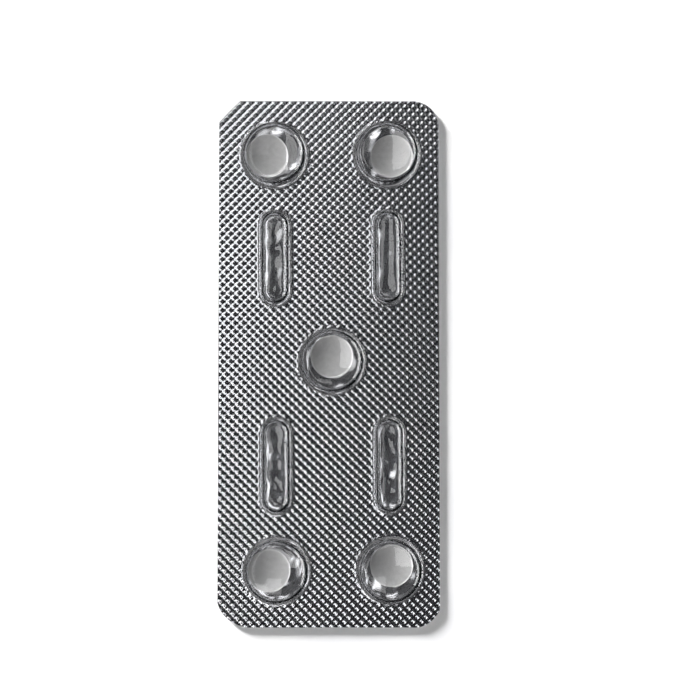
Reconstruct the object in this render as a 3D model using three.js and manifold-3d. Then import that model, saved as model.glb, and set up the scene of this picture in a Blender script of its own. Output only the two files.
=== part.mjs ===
// A blister card of five tablets, lying foil side down: a clear thermoformed film with five round
// pockets and four long stiffening ribs, a knurled aluminium lidding foil sealed under it, and one
// round white tablet lying loose in each pocket. Units are millimetres and +Z is up. The origin is
// the middle of the foil's underside, with +Y along the card.

import * as THREE from 'three';
import { mergeVertices } from 'three/addons/utils/BufferGeometryUtils.js';
import Module from 'manifold-3d';

const wasm = await Module();
wasm.setup();

// The die-cut outline of the card
const cardWidth = 36.6;
const cardLength = 87.3;

// Each corner is cut by a curve with one leg along the end and one along the side. A bulge of 0 is a
// straight chamfer, and a bulge of 1 reaches out towards a square corner.
const topLeftCorner = { endLeg: 3.5, sideLeg: 3.6, bulge: 0.05 };
const topRightCorner = { endLeg: 4.0, sideLeg: 3.9, bulge: 0.72 };
const bottomLeftCorner = { endLeg: 4.8, sideLeg: 4.0, bulge: 0.6 };
const bottomRightCorner = { endLeg: 3.4, sideLeg: 2.9, bulge: 0.45 };
const cornerSteps = 5;

// The film and the foil. The pyramids of the knurl stand on the foil and carry the film on their tips.
const filmThickness = 0.25;
const crownThickness = 0.18;
const foilThickness = 0.03;
const knurlPitch = 1.0;
const knurlHeight = 0.12;

// The pockets and the knurl share one pattern, which the punch has cut a little askew and off centre.
const patternSkewDegrees = 0.45;
const patternShiftX = 0.5;
const patternShiftY = 0.15;

// How far the knurl is shifted up the card from the middle of the pattern
const knurlShift = 0.16;

// The width of the sealed land between the pockets and the card's sides and ends, and between a pocket's
// mouth and the rib in the next row
const sideLand = 3.27;
const endLand = 3.47;
const ribLand = 3.41;

// The nearest that a pyramid's foot comes to a mouth and to the card's edge
const sealMargin = 0.1;
const knurlBorder = 0.05;

// Tablets: shallow biconvex discs with a straight band between two narrow bevels
const tabletDiameter = 7.0;
const tabletBand = 1.9;
const tabletBevel = 0.2;
const tabletCup = 0.45;
const tabletSegments = 24;
const tabletRestGap = 0.3;

// The room that a tablet has in its pocket: how far it can slide from the middle, what then stays
// between it and the wall, and the space over it
const tabletPlay = 1.22;
const tabletSideGap = 0.11;
const tabletHeadroom = 0.9;

// Where each tablet has come to lie: which way it has slid, and its share of the play
const tabletPlaces = [
  { name: 'tablet_top_left', column: -1, row: 1, headingDegrees: 200, share: 0.98 },
  { name: 'tablet_top_right', column: 1, row: 1, headingDegrees: -38, share: 0.86 },
  { name: 'tablet_centre', column: 0, row: 0, headingDegrees: 90, share: 0.6 },
  { name: 'tablet_bottom_left', column: -1, row: -1, headingDegrees: 170, share: 1 },
  { name: 'tablet_bottom_right', column: 1, row: -1, headingDegrees: 79, share: 0.74 },
];

// The form of the wall round a pocket, and of the wall round a rib, which is a long narrow pocket with
// round ends that holds nothing
const pocketWall = { footRadius: 0.35, draftDegrees: 5, shoulder: 1.25, crownRise: 0.35 };
const ribWall = { footRadius: 0.35, draftDegrees: 9, shoulder: 1.0, crownRise: 0.3 };
const pocketSegments = 24;
const ribSegments = 16;
const ribWidth = 5.52;
const ribDepth = 2.7;

// Heights that follow from the sizes above
const filmUnderside = foilThickness + knurlHeight;
const flangeTop = filmUnderside + filmThickness;
const tabletBase = foilThickness + tabletRestGap;
const tabletShoulder = tabletBase + tabletCup + tabletBevel + tabletBand;
const tabletTop = tabletShoulder + tabletBevel + tabletCup;

// A round pocket is as wide at its mouth, and as deep above the flange, as its tablet needs
const pocketLean = Math.tan(THREE.MathUtils.degToRad(pocketWall.draftDegrees)) * tabletShoulder;
const pocketRoom = tabletDiameter / 2 + tabletPlay + tabletSideGap;
const pocket = {
  ...pocketWall,
  mouthRadius: pocketRoom + pocketLean + filmThickness + pocketWall.footRadius,
  straight: 0,
  depth: tabletTop + tabletHeadroom + crownThickness - flangeTop,
  segments: pocketSegments,
};

// The pockets stand in two columns and three rows. The middle row has one pocket on the centre line, and
// each rib lies halfway between two rows.
const columnSpacing = cardWidth - 2 * (sideLand + pocket.mouthRadius);
const rowSpacing = cardLength / 2 - endLand - pocket.mouthRadius;
const ribLength = rowSpacing - 2 * (pocket.mouthRadius + ribLand);
const rib = {
  ...ribWall,
  mouthRadius: ribWidth / 2,
  straight: ribLength - ribWidth,
  depth: ribDepth,
  segments: ribSegments,
};

// How far a cutting tool runs past what it cuts
const overcut = 1;

// The square lattice that holds the tips of the knurl and the low points between them
const latticeStep = knurlPitch / Math.SQRT2;
const latticeColumns = 2 * Math.ceil((cardWidth / 2 + overcut) / latticeStep);
const latticeRows = 2 * Math.ceil((cardLength / 2 + knurlShift + overcut) / latticeStep);

function patternPoint(column, row) {
  return new THREE.Vector2((column * columnSpacing) / 2, row * rowSpacing);
}

const pocketCentres = tabletPlaces.map(({ column, row }) => patternPoint(column, row));
const ribCentres = [
  patternPoint(-1, 0.5),
  patternPoint(1, 0.5),
  patternPoint(-1, -0.5),
  patternPoint(1, -0.5),
];

function solidFrom(geometry) {
  const bare = new THREE.BufferGeometry();
  bare.setAttribute('position', geometry.getAttribute('position'));
  bare.setIndex(geometry.getIndex());
  const merged = mergeVertices(bare);
  const mesh = new wasm.Mesh({
    numProp: 3,
    vertProperties: merged.getAttribute('position').array,
    triVerts: new Uint32Array(merged.getIndex().array),
  });
  return new wasm.Manifold(mesh);
}

function geometryFrom(solid) {
  const mesh = solid.getMesh();
  const geometry = new THREE.BufferGeometry();
  geometry.setAttribute('position', new THREE.BufferAttribute(mesh.vertProperties, 3));
  geometry.setIndex(new THREE.BufferAttribute(mesh.triVerts, 1));
  const faceted = geometry.toNonIndexed();
  faceted.computeVertexNormals();
  return faceted;
}

// Moves a shape made around a pocket's or rib's centre to its place on the skewed pattern
function placedOnPattern(geometry, centre) {
  return geometry
    .translate(centre.x, centre.y, 0)
    .rotateZ(THREE.MathUtils.degToRad(patternSkewDegrees))
    .translate(patternShiftX, patternShiftY, 0);
}

function cardOutline() {
  const halfWidth = cardWidth / 2;
  const halfLength = cardLength / 2;
  const corners = [
    { x: halfWidth, y: -halfLength, cut: bottomRightCorner, startsOnSide: false },
    { x: halfWidth, y: halfLength, cut: topRightCorner, startsOnSide: true },
    { x: -halfWidth, y: halfLength, cut: topLeftCorner, startsOnSide: false },
    { x: -halfWidth, y: -halfLength, cut: bottomLeftCorner, startsOnSide: true },
  ];
  const points = [];
  for (const { x, y, cut, startsOnSide } of corners) {
    const onEnd = new THREE.Vector2(x - Math.sign(x) * cut.endLeg, y);
    const onSide = new THREE.Vector2(x, y - Math.sign(y) * cut.sideLeg);
    const middle = onEnd.clone().add(onSide).multiplyScalar(0.5);
    const pull = middle.lerp(new THREE.Vector2(x, y), cut.bulge);
    const [start, end] = startsOnSide ? [onSide, onEnd] : [onEnd, onSide];
    points.push(...new THREE.QuadraticBezierCurve(start, pull, end).getPoints(cornerSteps));
  }
  return new THREE.Shape(points);
}

function cardPrism(bottom, top) {
  const geometry = new THREE.ExtrudeGeometry(cardOutline(), { depth: top - bottom, bevelEnabled: false });
  return solidFrom(geometry.translate(0, 0, bottom));
}

// One side of a formed wall, from its mouth on the plane at base to the axis: a foot curve, a straight
// drafted wall, a rounded shoulder and a parabola over the crown
function formedProfile(form, base, depth, inset) {
  const lean = Math.tan(THREE.MathUtils.degToRad(form.draftDegrees));
  const foot = form.footRadius + inset;
  const shoulder = form.shoulder - inset;
  const wallRadius = form.mouthRadius - foot;
  const cornerHeight = depth - form.crownRise;
  const cornerRadius = wallRadius - cornerHeight * lean;
  const crownRadius = cornerRadius - shoulder;
  const crownDrop = form.crownRise * (crownRadius / cornerRadius) ** 2;
  const pull = form.crownRise * (shoulder / cornerRadius) ** 2;
  const path = new THREE.Path();
  path.moveTo(form.mouthRadius, base);
  path.quadraticCurveTo(wallRadius, base, wallRadius - foot * lean, base + foot);
  path.lineTo(cornerRadius + shoulder * lean, base + cornerHeight - shoulder);
  path.quadraticCurveTo(cornerRadius, base + cornerHeight + pull, crownRadius, base + depth - crownDrop);
  path.quadraticCurveTo(crownRadius / 2, base + depth, 0, base + depth);
  return path.getPoints(2);
}

// The solid under such a profile. A straight length sets two round ends apart and fills between them.
function formedSolid(form, profile, bottom, centre) {
  const half = [new THREE.Vector2(0, bottom), new THREE.Vector2(form.mouthRadius, bottom), ...profile];
  const turned = () => new THREE.LatheGeometry(half, form.segments).rotateX(Math.PI / 2);
  if (form.straight === 0) return solidFrom(placedOnPattern(turned(), centre));
  const reach = form.straight / 2;
  const mirrored = half.slice(1, -1).map((point) => new THREE.Vector2(-point.x, point.y));
  const section = new THREE.Shape([...half.slice(1), ...mirrored.reverse()]);
  const middle = new THREE.ExtrudeGeometry(section, { depth: form.straight, bevelEnabled: false });
  middle.rotateX(Math.PI / 2).translate(0, reach, 0);
  return solidFrom(placedOnPattern(middle, centre))
    .add(solidFrom(placedOnPattern(turned().translate(0, reach, 0), centre)))
    .add(solidFrom(placedOnPattern(turned().translate(0, -reach, 0), centre)));
}

// The film's upper skin over a pocket or rib, from inside the flange up
function outerSkin(form, centre) {
  const profile = formedProfile(form, flangeTop, form.depth, 0);
  return formedSolid(form, profile, flangeTop - filmThickness / 2, centre);
}

// The hollow under that skin, open at the foil
function hollow(form, centre) {
  const depth = form.depth + filmThickness - crownThickness;
  const profile = formedProfile(form, filmUnderside, depth, filmThickness);
  return formedSolid(form, profile, filmUnderside - overcut, centre);
}

function blisterFilm() {
  let film = cardPrism(filmUnderside, flangeTop);
  for (const centre of pocketCentres) film = film.add(outerSkin(pocket, centre));
  for (const centre of ribCentres) film = film.add(outerSkin(rib, centre));
  for (const centre of pocketCentres) film = film.subtract(hollow(pocket, centre));
  for (const centre of ribCentres) film = film.subtract(hollow(rib, centre));
  return geometryFrom(film);
}

// The distance from a point of the pattern to the nearest mouth of a pocket or rib
function distanceToMouths(point) {
  const clearOf = (form) => (centre) => {
    const along = THREE.MathUtils.clamp(point.y - centre.y, -form.straight / 2, form.straight / 2);
    return Math.hypot(point.x - centre.x, point.y - centre.y - along) - form.mouthRadius;
  };
  return Math.min(...pocketCentres.map(clearOf(pocket)), ...ribCentres.map(clearOf(rib)));
}

// The distance from a point of the pattern in from the card's edge. The outline has no hollow in it, so
// the nearest of its straight steps gives the distance.
function distanceToEdge(point, outline) {
  const skew = THREE.MathUtils.degToRad(patternSkewDegrees);
  const onCard = point.clone().rotateAround(new THREE.Vector2(), skew);
  onCard.add(new THREE.Vector2(patternShiftX, patternShiftY));
  const distances = outline.map((start, k) => {
    const along = outline[(k + 1) % outline.length].clone().sub(start).normalize();
    return along.cross(onCard.clone().sub(start));
  });
  return Math.min(...distances);
}

function latticePoint(i, j) {
  const x = (i - latticeColumns / 2) * latticeStep;
  const y = (j - latticeRows / 2) * latticeStep;
  return new THREE.Vector2(x, y + knurlShift);
}

function latticeIndex(i, j) {
  return j * (latticeColumns + 1) + i;
}

function latticeNeighbours(i, j) {
  return [[i + 1, j], [i, j + 1], [i - 1, j], [i, j - 1]];
}

// A pyramid's tip is where all four corners of its foot are on sealed foil
function isTip(i, j, outline) {
  const isSealed = (point) =>
    distanceToMouths(point) > sealMargin && distanceToEdge(point, outline) > knurlBorder;
  const onTipLattice = (i + j) % 2 === 0;
  return onTipLattice && latticeNeighbours(i, j).every((corner) => isSealed(latticePoint(...corner)));
}

// Tips stand at full height, the feet of pyramids are level with the foil, and where there are none the
// surface dips inside the foil
function knurlHeightAt(i, j, outline) {
  if (isTip(i, j, outline)) return filmUnderside;
  const isLowPoint = (i + j) % 2 !== 0;
  const meetsPyramid = isLowPoint && latticeNeighbours(i, j).some((tip) => isTip(...tip, outline));
  return meetsPyramid ? foilThickness : foilThickness / 2;
}

// The top of the knurl. Tips and low points alternate over the lattice, so that the grooves run at 45
// degrees to the card, and each square is split between its low points.
function knurledTop() {
  const outline = cardOutline().getPoints();
  const positions = [];
  for (let j = 0; j <= latticeRows; j++) {
    for (let i = 0; i <= latticeColumns; i++) {
      positions.push(...latticePoint(i, j), knurlHeightAt(i, j, outline));
    }
  }
  const triangles = [];
  for (let j = 0; j < latticeRows; j++) {
    for (let i = 0; i < latticeColumns; i++) {
      const [a, b] = [latticeIndex(i, j), latticeIndex(i + 1, j)];
      const [c, d] = [latticeIndex(i + 1, j + 1), latticeIndex(i, j + 1)];
      if ((i + j) % 2 === 0) triangles.push(a, b, d, b, c, d);
      else triangles.push(a, b, c, a, c, d);
    }
  }
  return { positions, triangles };
}

// The lattice points round the rim of the knurl, anticlockwise
function latticeRim() {
  const rim = [];
  for (let i = 0; i < latticeColumns; i++) rim.push([i, 0]);
  for (let j = 0; j < latticeRows; j++) rim.push([latticeColumns, j]);
  for (let i = latticeColumns; i > 0; i--) rim.push([i, latticeRows]);
  for (let j = latticeRows; j > 0; j--) rim.push([0, j]);
  return rim;
}

// The knurled top with sides and a flat bottom, so that it is a solid slab
function knurledSlab() {
  const { positions, triangles } = knurledTop();
  const rim = latticeRim();
  const lowered = positions.length / 3;
  for (const [i, j] of rim) positions.push(...latticePoint(i, j), -overcut);
  const hub = positions.length / 3;
  positions.push(0, 0, -overcut);
  rim.forEach(([i, j], k) => {
    const next = (k + 1) % rim.length;
    const [upper, upperNext] = [latticeIndex(i, j), latticeIndex(...rim[next])];
    triangles.push(upper, lowered + k, upperNext, upperNext, lowered + k, lowered + next);
    triangles.push(hub, lowered + next, lowered + k);
  });
  const geometry = new THREE.BufferGeometry();
  geometry.setAttribute('position', new THREE.Float32BufferAttribute(positions, 3));
  geometry.setIndex(triangles);
  return solidFrom(placedOnPattern(geometry, new THREE.Vector2(0, 0)));
}

// A flat foil with the knurl standing on it, cut to the card's outline
function liddingFoil() {
  const reach = 2 * overcut;
  const sheet = new THREE.BoxGeometry(cardWidth + reach, cardLength + reach, foilThickness + reach);
  const flat = solidFrom(sheet.translate(0, 0, foilThickness / 2 - overcut));
  return geometryFrom(knurledSlab().add(flat).intersect(cardPrism(0, filmUnderside + overcut)));
}

function tablet() {
  const radius = tabletDiameter / 2;
  const face = radius - tabletBevel;
  const half = tabletBand / 2;
  const lowerFace = new THREE.QuadraticBezierCurve(
    new THREE.Vector2(0, -half - tabletBevel - tabletCup),
    new THREE.Vector2(face / 2, -half - tabletBevel - tabletCup),
    new THREE.Vector2(face, -half - tabletBevel),
  ).getPoints(2);
  const lower = [...lowerFace, new THREE.Vector2(radius, -half)];
  const upper = lower.map((point) => new THREE.Vector2(point.x, -point.y)).reverse();
  const turned = new THREE.LatheGeometry([...lower, ...upper], tabletSegments).rotateX(Math.PI / 2);
  return turned.translate(0, 0, half + tabletBevel + tabletCup);
}

const clearFilm = new THREE.MeshStandardMaterial({
  color: 0xe6e9ec,
  roughness: 0.06,
  metalness: 0,
  transparent: true,
  opacity: 0.25,
});
const foilMetal = new THREE.MeshStandardMaterial({ color: 0xb9bbc0, roughness: 0.22, metalness: 1 });
const tabletWhite = new THREE.MeshStandardMaterial({ color: 0xe4e2dd, roughness: 0.6, metalness: 0 });

function named(name, geometry, material) {
  const mesh = new THREE.Mesh(geometry, material);
  mesh.name = name;
  return mesh;
}

const pack = new THREE.Group();
pack.add(named('lidding_foil', liddingFoil(), foilMetal));
pack.add(named('blister_film', blisterFilm(), clearFilm));

const pattern = new THREE.Group();
pattern.rotation.z = THREE.MathUtils.degToRad(patternSkewDegrees);
pattern.position.set(patternShiftX, patternShiftY, 0);
for (const { name, column, row, headingDegrees, share } of tabletPlaces) {
  const heading = THREE.MathUtils.degToRad(headingDegrees);
  const slide = new THREE.Vector2(tabletPlay * share, 0).rotateAround(new THREE.Vector2(), heading);
  const mesh = named(name, tablet(), tabletWhite);
  mesh.position.set(...patternPoint(column, row).add(slide), tabletBase);
  pattern.add(mesh);
}
pack.add(pattern);

export default pack;
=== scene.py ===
"""A blister card of five tablets: knurled foil, clear formed film and pressed white tablets."""

import math

import bmesh
import bpy
import numpy as np
from mathutils import Matrix, Vector
from mathutils.geometry import tessellate_polygon


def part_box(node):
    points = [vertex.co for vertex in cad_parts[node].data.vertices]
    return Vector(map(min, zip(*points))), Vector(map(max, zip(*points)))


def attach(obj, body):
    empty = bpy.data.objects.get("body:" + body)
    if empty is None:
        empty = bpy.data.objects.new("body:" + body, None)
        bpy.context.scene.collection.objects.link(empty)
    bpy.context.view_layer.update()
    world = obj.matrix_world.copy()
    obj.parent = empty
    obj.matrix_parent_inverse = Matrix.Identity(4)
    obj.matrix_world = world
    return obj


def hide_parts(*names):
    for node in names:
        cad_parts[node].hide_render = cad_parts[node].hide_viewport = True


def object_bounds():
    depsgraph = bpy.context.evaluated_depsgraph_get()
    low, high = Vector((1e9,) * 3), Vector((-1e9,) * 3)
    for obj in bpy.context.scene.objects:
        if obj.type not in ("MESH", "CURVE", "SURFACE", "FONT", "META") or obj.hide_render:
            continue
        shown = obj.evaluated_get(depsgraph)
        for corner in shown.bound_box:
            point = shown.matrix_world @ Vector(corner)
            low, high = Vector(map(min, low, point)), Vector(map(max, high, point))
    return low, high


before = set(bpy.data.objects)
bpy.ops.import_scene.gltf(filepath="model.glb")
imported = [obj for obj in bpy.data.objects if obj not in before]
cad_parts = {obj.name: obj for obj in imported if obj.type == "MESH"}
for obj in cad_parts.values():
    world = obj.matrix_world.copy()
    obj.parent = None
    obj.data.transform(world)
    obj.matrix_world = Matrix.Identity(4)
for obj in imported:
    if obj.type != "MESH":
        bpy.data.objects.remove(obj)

mm = 0.001
cad_low, cad_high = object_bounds()

# Lidding foil
# A thin sheet of bright aluminium, heat sealed to the film by a knurled plate. The plate leaves small
# blunt pyramids all over it, except under the pockets and ribs, where the foil stays smooth and a
# little wavy. The back is lacquered, and shows the knurl from behind.

corner_legs = {
    "bottom_right": (3.4 * mm, 2.9 * mm, 0.45),
    "top_right": (4.0 * mm, 3.9 * mm, 0.72),
    "top_left": (3.5 * mm, 3.6 * mm, 0.05),
    "bottom_left": (4.8 * mm, 4.0 * mm, 0.6),
}
corner_steps = 10
pattern_skew = math.radians(0.45)
pattern_shift = np.array([0.5, 0.15]) * mm
column_reach = 9.35 * mm
row_spacing = 34.5 * mm
pocket_mouth = 5.68 * mm
rib_mouth = 2.76 * mm
rib_straight = 10.8 * mm
knurl_pitch = 1.0 * mm
knurl_shift = np.array([-0.05, 0.19]) * mm
knurl_samples = np.array([0, 0.14, 0.36, 0.64, 0.86])
knurl_height = 0.1 * mm
knurl_overtone = 0.09
knurl_sharpness = 1.73
knurl_shares = np.array([0.54, 0.46])
crinkle_middle = 0.13 * mm
crinkle_height = 0.065 * mm
crinkle_length = 3.6 * mm
crinkle_stretch = 0.7
crinkle_edge = 1.1 * mm
foil_thickness = 0.03 * mm
tip_gap = 0.005 * mm
rim_gap = 0.002 * mm
blend_start = -0.05 * mm
blend_end = 0.3 * mm
normal_step = 0.002 * mm
sharp_angle = math.radians(40)
pocket_places = [(-1, 1), (1, 1), (0, 0), (-1, -1), (1, -1)]
rib_places = [(-1, 0.5), (1, 0.5), (-1, -0.5), (1, -0.5)]


def bezier(start, pull, end, steps):
    """Points on a quadratic curve from start to end, drawn towards pull, without the end point."""
    t = (np.arange(steps) / steps)[:, None]
    start, pull, end = np.array(start), np.array(pull), np.array(end)
    return (1 - t) ** 2 * start + 2 * t * (1 - t) * pull + t**2 * end


def card_outline():
    """The die-cut edge, anticlockwise: four straight sides, and a curve across each corner that is
    drawn towards the square corner by its bulge."""
    half_width, half_length = cad_high.x, cad_high.y
    points = []
    for name, (end_leg, side_leg, bulge) in corner_legs.items():
        side = 1 if "right" in name else -1
        end = 1 if "top" in name else -1
        corner = np.array([side * half_width, end * half_length])
        on_end = corner - [side * end_leg, 0]
        on_side = corner - [0, end * side_leg]
        pull = (on_end + on_side) / 2 * (1 - bulge) + corner * bulge
        first, last = (on_side, on_end) if side == end else (on_end, on_side)
        points += [bezier(first, pull, last, corner_steps), last[None]]
    return np.concatenate(points)


def from_pattern(points):
    """Turns points of the pocket pattern by its skew and shifts them to their place on the card."""
    c, s = math.cos(pattern_skew), math.sin(pattern_skew)
    x, y = points[..., 0], points[..., 1]
    return np.stack([c * x - s * y, s * x + c * y], axis=-1) + pattern_shift


def to_pattern(points):
    """The inverse of from_pattern."""
    c, s = math.cos(pattern_skew), math.sin(pattern_skew)
    x, y = np.moveaxis(points - pattern_shift, -1, 0)
    return np.stack([c * x + s * y, c * y - s * x], axis=-1)


def distance_past_edge(points, outline):
    """How far each point lies outside the outline, which has no hollow in it, and its nearest point
    on the outline: the largest distance past any side, and the closest foot on the sides."""
    start = outline
    along = np.roll(outline, -1, axis=0) - start
    length = np.linalg.norm(along, axis=1)
    along = along / length[:, None]
    offset = points[:, None] - start[None]
    past = (offset[..., 0] * along[:, 1] - offset[..., 1] * along[:, 0]).max(axis=1)
    foot = start + np.clip((offset * along).sum(-1), 0, length)[..., None] * along
    nearest = np.linalg.norm(points[:, None] - foot, axis=-1).argmin(axis=1)
    return past, foot[np.arange(len(points)), nearest]


def distance_to_mouths(points):
    """Distance in the plane from each pattern point to the nearest mouth, less than zero inside it: a
    round mouth is a circle, and a rib's is a line with a round end at either side."""
    nearest = np.full(len(points), np.inf)
    for places, radius, straight in ((pocket_places, pocket_mouth, 0), (rib_places, rib_mouth, rib_straight)):
        for column, row in places:
            x = points[:, 0] - column * column_reach
            y = points[:, 1] - row * row_spacing
            y = y - np.clip(y, -straight / 2, straight / 2)
            nearest = np.minimum(nearest, np.hypot(x, y) - radius)
    return nearest


def smooth_step(value, low, high):
    """0 below low, 1 above high, and a smooth cubic between."""
    t = np.clip((value - low) / (high - low), 0, 1)
    return t * t * (3 - 2 * t)


def crinkle(points, seed, wavelength, height, count=9):
    """A gentle wavy surface: a sum of plane waves with random headings, near one wavelength."""
    rng = np.random.default_rng(seed)
    total = np.zeros(len(points))
    for _ in range(count):
        heading, phase = rng.uniform(0, 2 * math.pi, 2)
        wave = 2 * math.pi / (wavelength * rng.uniform(0.6, 1.7))
        total += np.sin(wave * (points @ [math.cos(heading), math.sin(heading)]) + phase)
    return total * height / math.sqrt(count)


def make_piece(name, points, faces):
    """A mesh object from its points and faces, shaded smooth except across sharp edges."""
    mesh = bpy.data.meshes.new(name)
    mesh.from_pydata(points.tolist(), [], faces)
    mesh.update()
    mesh.shade_smooth()
    mesh.set_sharp_from_angle(angle=sharp_angle)
    piece = bpy.data.objects.new(name, mesh)
    bpy.context.scene.collection.objects.link(piece)
    return piece


def knurl_rise(points):
    """How far up its pyramid each pattern point lies, from 0 to 1: two waves that cross at 45 degrees
    to the pattern, each a cosine with a little of its third overtone for flatter facets, are summed by
    their shares and raised to a power that makes the tips tight and the floor between them flat."""
    turns = (points - knurl_shift) @ np.array([[1, -1], [1, 1]]) / math.sqrt(2) / knurl_pitch
    angle = 2 * math.pi * turns
    waves = (np.cos(angle) + knurl_overtone * np.cos(3 * angle)) / (1 + knurl_overtone)
    return (0.5 + waves @ knurl_shares / 2) ** knurl_sharpness


def sealed_share(pattern):
    """1 at pattern points on the sealed land, 0 inside the mouths, and a narrow change between."""
    return smooth_step(distance_to_mouths(pattern), blend_start, blend_end)


def foil_height(points):
    """Height of the foil's upper face: the pyramids stand on the sealed land, and fade out at each
    mouth into a smooth sheet, whose waves grow towards the middle of the mouth."""
    pattern = to_pattern(points)
    sealed = sealed_share(pattern)
    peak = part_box("lidding_foil")[1].z - tip_gap
    waves = crinkle(pattern * [1, crinkle_stretch], 5, crinkle_length, crinkle_height)
    waves = waves * smooth_step(-distance_to_mouths(pattern), 0, crinkle_edge)
    smooth = np.maximum(crinkle_middle + waves, foil_thickness)
    return sealed * (peak - knurl_height * (1 - knurl_rise(pattern))) + (1 - sealed) * smooth


def foil_normals(points):
    """Upward normals of foil_height, from its differences over a very short way along x and y."""
    slopes = [
        (foil_height(points + step) - foil_height(points - step)) / (2 * normal_step)
        for step in (np.array([normal_step, 0]), np.array([0, normal_step]))
    ]
    normals = np.column_stack([-slopes[0], -slopes[1], np.ones(len(points))])
    return normals / np.linalg.norm(normals, axis=1)[:, None]


def foil_sheet():
    """The foil as a closed sheet: a grid along the knurl's two directions, whose outermost points are
    drawn in to the card's edge, where the cut presses them up to the film, with a rim down from them
    to one flat face below."""
    outline = card_outline()
    reach = math.ceil(np.hypot(cad_high.x, cad_high.y) / knurl_pitch) + 1
    line = (np.arange(-reach, reach)[:, None] + knurl_samples).ravel() * knurl_pitch
    along, across = np.meshgrid(line, line, indexing="ij")
    grid = np.stack([along - across, along + across], axis=-1) / math.sqrt(2) + knurl_shift
    points = from_pattern(grid.reshape(-1, 2))
    near = (np.abs(points) < [cad_high.x + knurl_pitch, cad_high.y + knurl_pitch]).all(axis=1)
    past = np.full(len(points), np.inf)
    past[near], feet = distance_past_edge(points[near], outline)
    outside = past > 0
    points[near] = np.where(outside[near][:, None], feet, points[near])
    index = np.arange(len(points)).reshape(grid.shape[:2])
    quads = np.stack([index[:-1, :-1], index[1:, :-1], index[1:, 1:], index[:-1, 1:]], axis=-1)
    quads = quads.reshape(-1, 4)
    quads = quads[~outside[quads].all(axis=1)]
    used, quads = np.unique(quads, return_inverse=True)
    quads = quads.reshape(-1, 4)
    top = np.column_stack([points[used], foil_height(points[used])])
    edges = np.concatenate([quads[:, [k, (k + 1) % 4]] for k in range(4)])
    size = len(top)
    twins = np.isin(edges[:, 0] * size + edges[:, 1], edges[:, 1] * size + edges[:, 0])
    after = dict(edges[~twins].tolist())
    loop = [next(iter(after))]
    while after[loop[-1]] != loop[0]:
        loop.append(after[loop[-1]])
    loop = np.array(loop)
    top[loop, 2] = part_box("blister_film")[0].z - rim_gap
    rim = top[loop] * [1, 1, 0]
    below = size + np.arange(len(loop))
    walls = np.column_stack([loop, below, np.roll(below, -1), np.roll(loop, -1)])
    faces = quads.tolist() + walls.tolist() + [below[::-1].tolist()]
    down = np.tile([0.0, 0.0, -1.0], (len(loop), 1))
    return np.concatenate([top, rim]), faces, np.concatenate([foil_normals(points[used]), down])


def new_material(name):
    """A material with its Principled BSDF: returns the material, its node tree and that shader."""
    material = bpy.data.materials.new(name)
    material.use_nodes = True
    tree = material.node_tree
    return material, tree, tree.nodes["Principled BSDF"]


def add_node(tree, kind, settings=None, **inputs):
    """A node of that kind. Settings are its own options, and inputs are sockets, by name or by number
    as i0, i1 and so on: a value is written on the socket, and another node's output is linked to it."""
    node = tree.nodes.new("ShaderNode" + kind)
    for key, value in (settings or {}).items():
        setattr(node, key, value)
    for key, value in inputs.items():
        socket = node.inputs[int(key[1:])] if key[0] == "i" and key[1:].isdigit() else node.inputs[key]
        if isinstance(value, bpy.types.NodeSocket):
            tree.links.new(value, socket)
        else:
            socket.default_value = value
    return node


def ranged(tree, value, start, end, first, last):
    """A value that goes from first to last as the given one goes from start to end."""
    bounds = {"From Min": start, "From Max": end, "To Min": first, "To Max": last}
    return add_node(tree, "MapRange", Value=value, **bounds).outputs["Result"]


def combined(tree, operation, first, second):
    """The result of a Math node on two values."""
    return add_node(tree, "Math", {"operation": operation}, i0=first, i1=second).outputs["Value"]


def mottle_effect():
    """The node group that every finish takes its unevenness from: noise in object coordinates, spread
    out so that nearly all of it runs from Low to High. Scale is in waves per metre."""
    group = bpy.data.node_groups.new("mottle", "ShaderNodeTree")
    for name, start in {"Scale": 500.0, "Detail": 3.0, "Low": 0.0, "High": 1.0}.items():
        socket = group.interface.new_socket(name, in_out="INPUT", socket_type="NodeSocketFloat")
        socket.default_value = start
    group.interface.new_socket("Value", in_out="OUTPUT", socket_type="NodeSocketFloat")
    given = group.nodes.new("NodeGroupInput").outputs
    place = add_node(group, "TexCoord").outputs["Object"]
    cloud = add_node(group, "TexNoise", Vector=place, Scale=given["Scale"], Detail=given["Detail"])
    spread = ranged(group, cloud.outputs["Fac"], 0.3, 0.7, given["Low"], given["High"])
    result = group.nodes.new("NodeGroupOutput")
    group.links.new(spread, result.inputs["Value"])
    return group


mottle = mottle_effect()


def mottled(tree, scale, low, high, detail=3.0):
    """The mottle effect placed in a material's tree: its value."""
    sizes = {"Scale": scale, "Detail": detail, "Low": low, "High": high}
    return add_node(tree, "Group", {"node_tree": mottle}, **sizes).outputs["Value"]


def mixed_colour(tree, share, first, second):
    """A colour that goes from first to second as share goes from 0 to 1."""
    return add_node(tree, "Mix", {"data_type": "RGBA"}, i0=share, i6=first, i7=second).outputs[2]


def foil_finish():
    """Bright rolled aluminium with cloudy patches of duller metal. Where it isn't sealed, the seal
    lacquer on it stays hazy."""
    material, tree, metal = new_material("bright_rolled_foil")
    metal.inputs["Metallic"].default_value = 1.0
    tint = mixed_colour(tree, mottled(tree, 260, 0, 1), (0.7, 0.7, 0.715, 1), (0.8, 0.8, 0.81, 1))
    tree.links.new(tint, metal.inputs["Base Color"])
    sealed = add_node(tree, "Attribute", {"attribute_name": "sealed"}).outputs["Fac"]
    bright, hazy = mottled(tree, 900, 0.04, 0.09), mottled(tree, 500, 0.1, 0.16)
    roughness = add_node(tree, "Mix", i0=sealed, i2=hazy, i3=bright).outputs[0]
    tree.links.new(roughness, metal.inputs["Roughness"])
    return material


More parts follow.
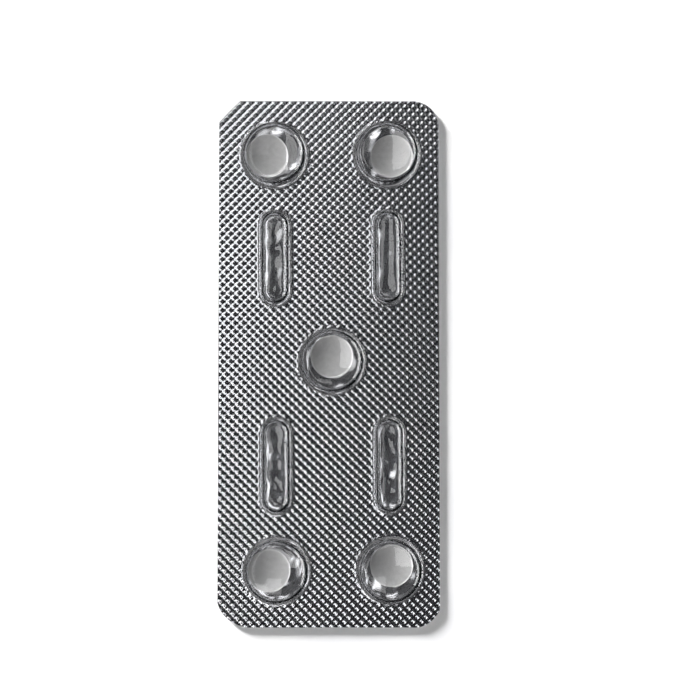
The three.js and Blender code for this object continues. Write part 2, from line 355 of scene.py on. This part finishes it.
def lacquered_back():
    """The foil's underside: aluminium under a satin lacquer. The two waves of the knurl show through
    as a relief, and each of them repeats once in a pitch."""
    material, tree, metal = new_material("lacquered_foil_back")
    metal.inputs["Metallic"].default_value = 1.0
    metal.inputs["Coat Weight"].default_value = 0.4
    metal.inputs["Coat Roughness"].default_value = 0.2
    tint = mixed_colour(tree, mottled(tree, 200, 0, 1), (0.62, 0.62, 0.63, 1), (0.7, 0.7, 0.705, 1))
    tree.links.new(tint, metal.inputs["Base Color"])
    tree.links.new(mottled(tree, 700, 0.28, 0.38), metal.inputs["Roughness"])
    place = add_node(tree, "TexCoord").outputs["Object"]
    waves = []
    for side in (1, -1):
        turn = (0, 0, -pattern_skew + side * math.pi / 4)
        along = add_node(tree, "Mapping", Vector=place, Rotation=turn).outputs["Vector"]
        wave = add_node(tree, "TexWave", Vector=along, Scale=math.pi / 10 / knurl_pitch)
        waves.append(wave.outputs["Fac"])
    relief = combined(tree, "ADD", *waves)
    bump = add_node(tree, "Bump", Height=relief, Strength=0.5, Distance=0.05 * mm)
    tree.links.new(bump.outputs["Normal"], metal.inputs["Normal"])
    return material


sheet_points, sheet_faces, sheet_normals = foil_sheet()
foil = make_piece("lidding_foil_sheet", sheet_points, sheet_faces)
foil.data.normals_split_custom_set_from_vertices(sheet_normals.tolist())
sealed = foil.data.attributes.new("sealed", "FLOAT", "POINT")
sealed.data.foreach_set("value", sealed_share(to_pattern(sheet_points[:, :2])))
foil.data.materials.append(foil_finish())
foil.data.materials.append(lacquered_back())
foil.data.polygons[-1].material_index = 1
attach(foil, "root")
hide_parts("lidding_foil")

# Blister film
# One clear PVC web, 0.25 mm thick, warmed and drawn into a mould, so the pockets and ribs are thinner
# over their crowns. Its flat land is sealed to the foil, and the card is die cut through both.

film_thickness = 0.25 * mm
crown_thickness = 0.18 * mm
pocket_form = {
    "mouth": pocket_mouth, "straight": 0, "draft": math.radians(5),
    "foot": 0.35 * mm, "shoulder": 1.25 * mm, "rise": 0.35 * mm, "waver": 0,
}
rib_form = {
    "mouth": rib_mouth, "straight": rib_straight, "draft": math.radians(9),
    "foot": 0.35 * mm, "shoulder": 1.0 * mm, "rise": 0.3 * mm, "waver": 0.045 * mm,
}
waver_length = 3.2 * mm
ripple_height = 0.012 * mm
swell_height = 0.02 * mm
swell_wave = 900
dimple_height = 0.03 * mm
rib_depth = 2.7 * mm
collar = 0.12 * mm
round_steps = 96
side_steps = 30
merge_distance = 0.001 * mm
land_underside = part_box("blister_film")[0].z
land_top = land_underside + film_thickness
pocket_depth = cad_high.z - land_top


def formed_section(form, base, depth, inset):
    """Radius and height from the land to the axis: a flat collar, a foot curve, a drafted wall, a
    rounded shoulder and a low crown. The inset makes the foot wider and the shoulder tighter."""
    lean = math.tan(form["draft"])
    foot = form["foot"] + inset
    shoulder = form["shoulder"] - inset
    rise = form["rise"]
    wall = form["mouth"] - foot
    corner_height = depth - rise
    corner = wall - corner_height * lean
    crown = corner - shoulder
    wall_foot = np.array([wall - foot * lean, foot])
    wall_head = np.array([corner + shoulder * lean, corner_height - shoulder])
    crown_edge = np.array([crown, depth - rise * (crown / corner) ** 2])
    pull = (corner, corner_height + rise * (shoulder / corner) ** 2)
    section = np.concatenate([
        [[form["mouth"] + collar, 0]],
        bezier((form["mouth"], 0), (wall, 0), wall_foot, 8),
        bezier(wall_foot, (wall_foot + wall_head) / 2, wall_head, 6),
        bezier(wall_head, pull, crown_edge, 12),
        bezier(crown_edge, (crown / 2, depth), (0, depth), 9),
        [[0, depth]],
    ])
    return section + [0, base]


def ring_path(straight):
    """Once round a mouth, anticlockwise: the heading of each point and how far its round end is moved
    along the rib. Round pockets have no straight part, so all their points share one centre."""
    half = round_steps // 2
    if straight == 0:
        return np.arange(round_steps) * 2 * math.pi / round_steps, np.zeros(round_steps)
    arc = np.arange(half) * math.pi / half
    side = straight / 2 - np.arange(side_steps) * straight / side_steps
    headings = np.concatenate([arc, np.full(side_steps, math.pi), arc + math.pi, np.zeros(side_steps)])
    offsets = np.concatenate([np.full(half, straight / 2), side, np.full(half, -straight / 2), -side])
    return headings, offsets


def formed_skin(form, centre, section, seed):
    """The section carried round the ring path, with small uneven waves in the wall that the mould and
    the draw leave. Returns points with one row for each section point."""
    headings, offsets = ring_path(form["straight"])
    rng = np.random.default_rng(seed)
    phases = rng.uniform(0, 2 * math.pi, 4)
    radius, height = section[:, :1], section[:, 1:]
    lift = smooth_step(height, section[0, 1], section[-1, 1])
    ripple = sum(np.sin(n * headings + p) for n, p in zip((2, 3, 5, 9), phases)) * ripple_height
    swell = np.sin(offsets * swell_wave + phases[0]) * swell_height
    drawn = radius + (ripple + swell)[None] * lift * (radius > 0)
    x = centre[0] + drawn * np.cos(headings)
    y = centre[1] + offsets + drawn * np.sin(headings)
    dimple = dimple_height * lift * np.sin(headings + phases[1]) * radius / form["mouth"]
    plan = from_pattern(np.stack([x, y], axis=-1))
    waver = crinkle(plan.reshape(-1, 2), seed, waver_length, form["waver"]).reshape(x.shape) * lift
    return np.concatenate([plan, (height + dimple + waver)[..., None]], axis=-1)


def film_shell():
    """The film as one closed shell: upper and lower skins over every pocket and rib, the land filled
    in flat round them above and below, and last the faces of the straight cut edge, with their count."""
    points, faces = [], []
    count = 0
    outline = card_outline()
    features = [(pocket_form, place, pocket_depth) for place in pocket_places]
    features += [(rib_form, place, rib_depth) for place in rib_places]
    rims = []
    for base, inset in ((land_top, 0.0), (land_underside, film_thickness)):
        flat = np.column_stack([outline, np.full(len(outline), base)])
        loops, starts = [flat], [count]
        points.append(flat)
        rims.append(count)
        count += len(flat)
        for k, (form, (column, row), depth) in enumerate(features):
            inner = film_thickness - crown_thickness if inset else 0.0
            section = formed_section(form, base, depth + inner, inset)
            centre = (column * column_reach, row * row_spacing)
            skin = formed_skin(form, centre, section, 11 + k)
            rows, columns = skin.shape[:2]
            index = count + np.arange(rows * columns).reshape(rows, columns)
            around = np.roll(index, -1, axis=1)
            quads = np.stack([index[:-1], around[:-1], around[1:], index[1:]], axis=-1)
            faces += quads.reshape(-1, 4).tolist()
            loops.append(skin[0])
            starts.append(count)
            points.append(skin.reshape(-1, 3))
            count += rows * columns
        sizes = [len(loop) for loop in loops]
        numbers = np.concatenate([start + np.arange(size) for start, size in zip(starts, sizes)])
        filled = tessellate_polygon([[Vector(p) for p in loop] for loop in loops])
        faces += numbers[np.array(filled)].tolist()
    ring = np.arange(len(outline))
    upper, lower = rims[0] + ring, rims[1] + ring
    faces += np.column_stack([upper, lower, np.roll(lower, -1), np.roll(upper, -1)]).tolist()
    return np.concatenate(points), faces, len(outline)


def close_poles(piece):
    """Merges the points that meet at each crown and turns every face outwards."""
    work = bmesh.new()
    work.from_mesh(piece.data)
    bmesh.ops.remove_doubles(work, verts=work.verts, dist=merge_distance)
    bmesh.ops.recalc_face_normals(work, faces=work.faces)
    work.to_mesh(piece.data)
    work.free()


def clear_film(name, roughness):
    """The shader that the film's faces and its cut edge share: clear glossy PVC."""
    material, tree, film = new_material(name)
    film.inputs["Base Color"].default_value = (0.97, 0.975, 0.985, 1)
    film.inputs["Transmission Weight"].default_value = 1.0
    film.inputs["IOR"].default_value = 1.53
    tree.links.new(mottled(tree, 400, *roughness), film.inputs["Roughness"])
    return material, tree, film


def film_finish():
    """The film's faces, with a faint unevenness from the draw. Lamps shine straight through them to
    what lies below, and so do the rays that matt surfaces gather their light by."""
    material, tree, film = clear_film("clear_formed_film", (0.0, 0.03))
    uneven = mottled(tree, 450, 0.0, 1.0, detail=1.0)
    bump = add_node(tree, "Bump", Height=uneven, Strength=0.1, Distance=0.02 * mm)
    tree.links.new(bump.outputs["Normal"], film.inputs["Normal"])
    clear = add_node(tree, "BsdfTransparent", Color=(0.98, 0.98, 0.985, 1))
    rays = add_node(tree, "LightPath").outputs
    straight = combined(tree, "MAXIMUM", rays["Is Shadow Ray"], rays["Is Diffuse Ray"])
    mixed = add_node(tree, "MixShader", i0=straight)
    tree.links.new(film.outputs["BSDF"], mixed.inputs[1])
    tree.links.new(clear.outputs["BSDF"], mixed.inputs[2])
    tree.links.new(mixed.outputs["Shader"], tree.nodes["Material Output"].inputs["Surface"])
    return material


def cut_edge_finish():
    """The die-cut edge of the film: a little frosted, so that no lamp shines straight through it."""
    return clear_film("die_cut_film_edge", (0.2, 0.35))[0]


film_points, film_faces, edge_count = film_shell()
film = make_piece("blister_film_shell", film_points, film_faces)
film.data.materials.append(film_finish())
film.data.materials.append(cut_edge_finish())
for face in film.data.polygons[-edge_count:]:
    face.material_index = 1
close_poles(film)
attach(film, "root")
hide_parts("blister_film")

# Tablets
# Five round tablets of white powder, pressed between two cupped punches. Each has a straight band from
# the die, a narrow bevel and a shallow crown above and below, and lies loose in its pocket.

tablet_radius = 3.5 * mm
tablet_band = 1.9 * mm
tablet_bevel = 0.2 * mm
tablet_cup = 0.45 * mm
tablet_soften = 0.06 * mm
tablet_nodes = [name for name in sorted(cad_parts) if name.startswith("tablet")]


def tablet_section():
    """Half of a tablet's outline from the bottom of the axis to the top: a parabola out to the bevel,
    a small curve round each edge of the bevel, and the straight band."""
    face = tablet_radius - tablet_bevel
    half = tablet_band / 2
    shoulder = half + tablet_bevel
    top = shoulder + tablet_cup
    soften = tablet_soften
    band_end = (tablet_radius, half - soften)
    bevel_start = (tablet_radius - soften, half + soften)
    bevel_end = (face + soften, shoulder - soften)
    crown_start = (face - soften, shoulder + 2 * tablet_cup / face * soften)
    upper = np.concatenate([
        [[tablet_radius, 0.0], [tablet_radius, half * 0.7]],
        bezier(band_end, (tablet_radius, half), bevel_start, 5),
        bezier(bevel_end, (face, shoulder), crown_start, 5),
        bezier(crown_start, (face / 2, top), (0, top), 16),
        [[0, top]],
    ])
    return np.concatenate([upper[:0:-1] * [1, -1], upper])


def turned(section, centre):
    """A section turned round the upright axis through centre: points and faces, row by row."""
    headings, _ = ring_path(0)
    radius, height = section[:, :1], section[:, 1:]
    x = centre[0] + radius * np.cos(headings)
    y = centre[1] + radius * np.sin(headings)
    z = centre[2] + height + np.zeros(round_steps)
    index = np.arange(len(section) * round_steps).reshape(len(section), round_steps)
    around = np.roll(index, -1, axis=1)
    quads = np.stack([index[:-1], around[:-1], around[1:], index[1:]], axis=-1)
    return np.stack([x, y, z], axis=-1).reshape(-1, 3), quads.reshape(-1, 4).tolist()


def powder_finish():
    """Matt pressed powder: faint mottling, fine pits and a soft grain."""
    material, tree, powder = new_material("pressed_powder")
    specks = mottled(tree, 1500, 0, 1, detail=4.0)
    tint = mixed_colour(tree, specks, (0.55, 0.545, 0.53, 1), (0.63, 0.625, 0.61, 1))
    tree.links.new(tint, powder.inputs["Base Color"])
    tree.links.new(mottled(tree, 2500, 0.5, 0.7), powder.inputs["Roughness"])
    pits = mottled(tree, 9000, 0, 1, detail=5.0)
    bump = add_node(tree, "Bump", Height=pits, Strength=0.25, Distance=0.01 * mm)
    tree.links.new(bump.outputs["Normal"], powder.inputs["Normal"])
    return material


powder = powder_finish()
tablets = []
for node in tablet_nodes:
    low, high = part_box(node)
    tablet = make_piece(node + "_pressed", *turned(tablet_section(), (low + high) / 2))
    close_poles(tablet)
    tablet.data.materials.append(powder)
    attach(tablet, "root")
    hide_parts(node)
    tablets.append(tablet)

# Studio floor
# A wide white table top that curves up far from the card, so that every view has it behind. Near the
# card it is lit by the lamps and takes the shadow, and further out it has more and more light of its
# own where the camera sees it. A reflection shows it too, but darker, so that foil stays grey.

floor_flat = 1.2
floor_edge = 1.7
floor_height = 0.5
floor_paleness = 0.9
paleness_mirrored = 0.05
glow_start = 0.07
glow_end = 0.4
glow_near = 0.06
glow_far = 0.95
glow_mirrored = 0.35


def floor_section():
    """Radius and height from the rim in to the middle: a quarter curve down to a flat disc."""
    curve = bezier((floor_edge, floor_height), (floor_edge, 0), (floor_flat, 0), 16)
    return np.concatenate([curve, [[floor_flat, 0], [floor_flat / 4, 0], [0, 0]]])


def floor_finish():
    """White matt paper. Its own light grows with the distance from the card, and both that light and
    its paleness drop to their mirrored values after the first glossy bounce."""
    material, tree, paper = new_material("white_table")
    paper.inputs["Roughness"].default_value = 0.8
    paper.inputs["Specular IOR Level"].default_value = 0.0
    rays = add_node(tree, "LightPath").outputs
    seen = combined(tree, "MAXIMUM", rays["Is Camera Ray"], rays["Is Glossy Ray"])
    seen = combined(tree, "MAXIMUM", seen, rays["Is Transmission Ray"])
    place = add_node(tree, "TexCoord").outputs["Object"]
    away = add_node(tree, "VectorMath", {"operation": "LENGTH"}, i0=place).outputs["Value"]
    glow = ranged(tree, away, glow_start, glow_end, glow_near, glow_far)
    glow = combined(tree, "MULTIPLY", seen, glow)
    dimmed = ranged(tree, rays["Glossy Depth"], 0, 1, 1, glow_mirrored)
    glow = combined(tree, "MULTIPLY", glow, dimmed)
    pale = ranged(tree, rays["Glossy Depth"], 0, 1, floor_paleness, paleness_mirrored)
    tree.links.new(pale, paper.inputs["Base Color"])
    paper.inputs["Emission Color"].default_value = (1, 1, 1, 1)
    tree.links.new(glow, paper.inputs["Emission Strength"])
    return material


floor = make_piece("studio_floor", *turned(floor_section(), (0, 0, 0)))
close_poles(floor)
floor.data.materials.append(floor_finish())

# Studio light
# Soft panels hang level at the left and the top, brightest at the lower left, and show in the foil and
# the film. A low wall of light stands at the right, a far panel shows only in the film, and a low
# light from the upper left falls only on the table, where it throws the card's short shadow.

lamp_height = 0.5
crown_height = 1.5
low_strength = 25
low_spread = math.radians(14)
low_heading = Vector((0.7, -0.7, -0.13))
room_colour = (0.022, 0.022, 0.024, 1)


def lit_only(lamp, pieces):
    """Makes a lamp light these pieces alone."""
    receivers = bpy.data.collections.new(lamp.name + "_lights")
    for piece in pieces:
        receivers.objects.link(piece)
    lamp.light_linking.receiver_collection = receivers


def soft_panel(name, place, aim, width, height, radiance):
    """A rectangular lamp at place, facing aim. Its power is the radiance times pi times its area."""
    lamp = bpy.data.lights.new(name, "AREA")
    lamp.shape = "RECTANGLE"
    lamp.size, lamp.size_y = width, height
    lamp.energy = radiance * math.pi * width * height
    panel = bpy.data.objects.new(name, lamp)
    panel.location = place
    panel.rotation_euler = (Vector(aim) - Vector(place)).to_track_quat("-Z", "Y").to_euler()
    panel.visible_camera = False
    bpy.context.scene.collection.objects.link(panel)
    return panel


def hanging_panel(name, left, right, near, far, radiance, height=lamp_height):
    """A level panel facing down, between two places along x and two along y, that shows in glossy
    surfaces alone."""
    middle = ((left + right) / 2, (near + far) / 2)
    panel = soft_panel(name, (*middle, height), (*middle, 0), right - left, far - near, radiance)
    panel.visible_diffuse = False
    return panel


hanging_panel("left_panel", -0.34, -0.24, -0.06, 0.16, 1.2)
left_inner_panel = hanging_panel("left_inner_panel", -0.24, -0.16, -0.12, 0.22, 1.9)
left_inner_panel.visible_diffuse = True
hanging_panel("lower_left_panel", -0.2, -0.08, -0.24, -0.12, 2.6)
hanging_panel("lower_middle_panel", -0.08, 0, -0.19, -0.085, 1.6)
hanging_panel("top_left_panel", -0.16, -0.02, 0.22, 0.32, 2.2)
hanging_panel("top_inner_panel", -0.16, -0.05, 0.1, 0.22, 0.6)
hanging_panel("top_panel", -0.08, 0.04, 0.32, 0.54, 1.4)
hanging_panel("upper_right_panel", 0.12, 0.3, 0.14, 0.22, 0.3)

crown_panel = hanging_panel("crown_panel", 0.13, 0.51, -0.03, 0.615, 3.8, height=crown_height)
crown_panel.visible_transmission = False
lit_only(crown_panel, [film])

right_wall = soft_panel("right_wall", (0.5, 0.06, 0.14), (0, 0, 0), width=0.9, height=0.2, radiance=6.0)
lit_only(right_wall, [foil, film, *tablets])

low_sun = bpy.data.lights.new("low_light", "SUN")
low_sun.energy = low_strength
low_sun.angle = low_spread
low_light = bpy.data.objects.new("low_light", low_sun)
low_light.rotation_euler = low_heading.to_track_quat("-Z", "Y").to_euler()
bpy.context.scene.collection.objects.link(low_light)
lit_only(low_light, [floor])
shadow_makers = bpy.data.collections.new("low_light_shadows")
shadow_makers.objects.link(foil)
shadow_makers.objects.link(film)
low_light.light_linking.blocker_collection = shadow_makers

room = bpy.data.worlds.new("dark_room")
room.use_nodes = True
room.node_tree.nodes["Background"].inputs["Color"].default_value = room_colour
bpy.context.scene.world = room

# Camera
# Almost straight above the card, a little towards its lower left, aimed past it to the upper right so
# that the card sits left of the middle of the picture.

camera_aim = Vector((3.5 * mm, 2.1 * mm, 0))
camera_distance = 0.35
camera_tilt = math.radians(3.4)
camera_lean = math.radians(-0.3)
picture_width = 116.1 * mm

camera_data = bpy.data.cameras.new("camera")
camera_data.sensor_width = 36.0
camera_data.lens = camera_data.sensor_width * camera_distance / picture_width
camera = bpy.data.objects.new("camera", camera_data)
back = Vector((math.sin(camera_lean), -math.sin(camera_tilt), 1)).normalized()
right = Vector((0, 1, 0)).cross(back).normalized()
up = back.cross(right)
camera.location = camera_aim + back * camera_distance
camera.rotation_euler = Matrix([right, up, back]).transposed().to_euler()
camera_data.clip_start = 0.01
bpy.context.scene.collection.objects.link(camera)
bpy.context.scene.camera = camera
bpy.context.scene.view_settings.view_transform = "Standard"
